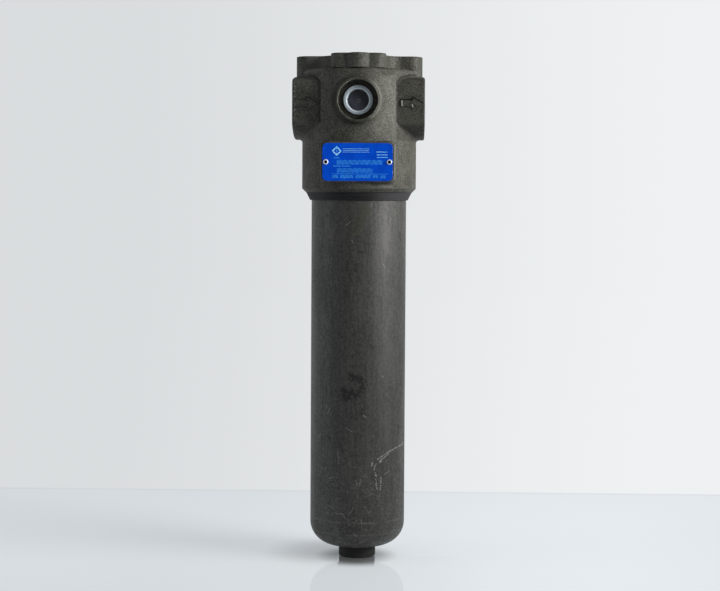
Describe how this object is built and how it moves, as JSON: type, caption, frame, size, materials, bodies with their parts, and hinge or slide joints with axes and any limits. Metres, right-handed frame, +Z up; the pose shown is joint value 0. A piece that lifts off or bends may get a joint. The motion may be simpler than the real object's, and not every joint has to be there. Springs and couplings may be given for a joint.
{
  "type": "hydraulic pressure filter",
  "caption": "In-line hydraulic pressure filter: ported cast head with a tapped mounting pad, long screwed steel bowl, pleated element and bypass valve.",
  "frame": {"origin": "centre of the flat end of the bowl's stub, on which the filter stands", "axes": "+Z up along the bowl's axis towards the mounting pad; -Y is the front with the name plate; oil flows from -X to +X"},
  "size_m": [0.1237, 0.1154, 0.4757],
  "materials": {
    "cast_head": "phosphated sand casting",
    "bowl_steel": "dark phosphated drawn steel",
    "blue_plate": "satin blue enamel",
    "rivet_metal": "bright",
    "plug_plastic": "translucent",
    "seal_rubber": "matt",
    "backup_plastic": "matt white",
    "plated_steel": "turned and plated",
    "spring_steel": "drawn wire",
    "cap_steel": "tinned sheet",
    "filter_medium": "glass fibre fleece"
  },
  "bodies": {
    "head": {"head_casting": "cast_head", "outlet_spigot": "plated_steel", "bypass_valve_body": "plated_steel", "bypass_valve_o_ring": "seal_rubber", "bypass_valve_spring": "spring_steel", "bypass_spring_plate": "plated_steel", "bypass_circlip": "spring_steel", "name_plate": "blue_plate", "name_plate_rivets": "rivet_metal", "element_top_cap": "cap_steel", "element_o_ring": "seal_rubber", "element_core_tube": "cap_steel", "element_media_pleats": "filter_medium", "element_bottom_cap": "cap_steel"},
    "bypass_poppet": {"bypass_valve_poppet": "plated_steel"},
    "bowl_seals": {"bowl_o_ring": "seal_rubber", "bowl_backup_ring": "backup_plastic"},
    "screwed_bowl": {"bowl": "bowl_steel"},
    "indicator_plug": {"indicator_port_plug": "plug_plastic"},
    "outlet_plug": {"outlet_port_plug": "plug_plastic"}
  },
  "joints": [
    {"name": "bowl_drop", "type": "slide", "parent": "head", "child": "bowl_seals", "axis": [0, 0, -1], "range_m": [0, 0.018]},
    {"name": "bowl_turn", "type": "hinge", "parent": "bowl_seals", "child": "screwed_bowl", "pos_m": [0, 0, 0.2], "axis": [0, 0, -1], "range_deg": [0, 3240]},
    {"name": "indicator_plug_pull", "type": "slide", "parent": "head", "child": "indicator_plug", "axis": [0, -1, 0], "range_m": [0, 0.025]},
    {"name": "outlet_plug_pull", "type": "slide", "parent": "head", "child": "outlet_plug", "axis": [1, 0, 0], "range_m": [0, 0.025]},
    {"name": "bypass_lift", "type": "slide", "parent": "head", "child": "bypass_poppet", "axis": [0, 0, 1], "range_m": [0, 0.003], "stiffness_N_per_m": 5000, "springref_m": -0.008, "deforming": ["bypass_valve_spring"]}
  ],
  "couplings": [
    {"joint": "bowl_drop", "follows": "bowl_turn", "m_per_rad": 0.00031831}
  ]
}
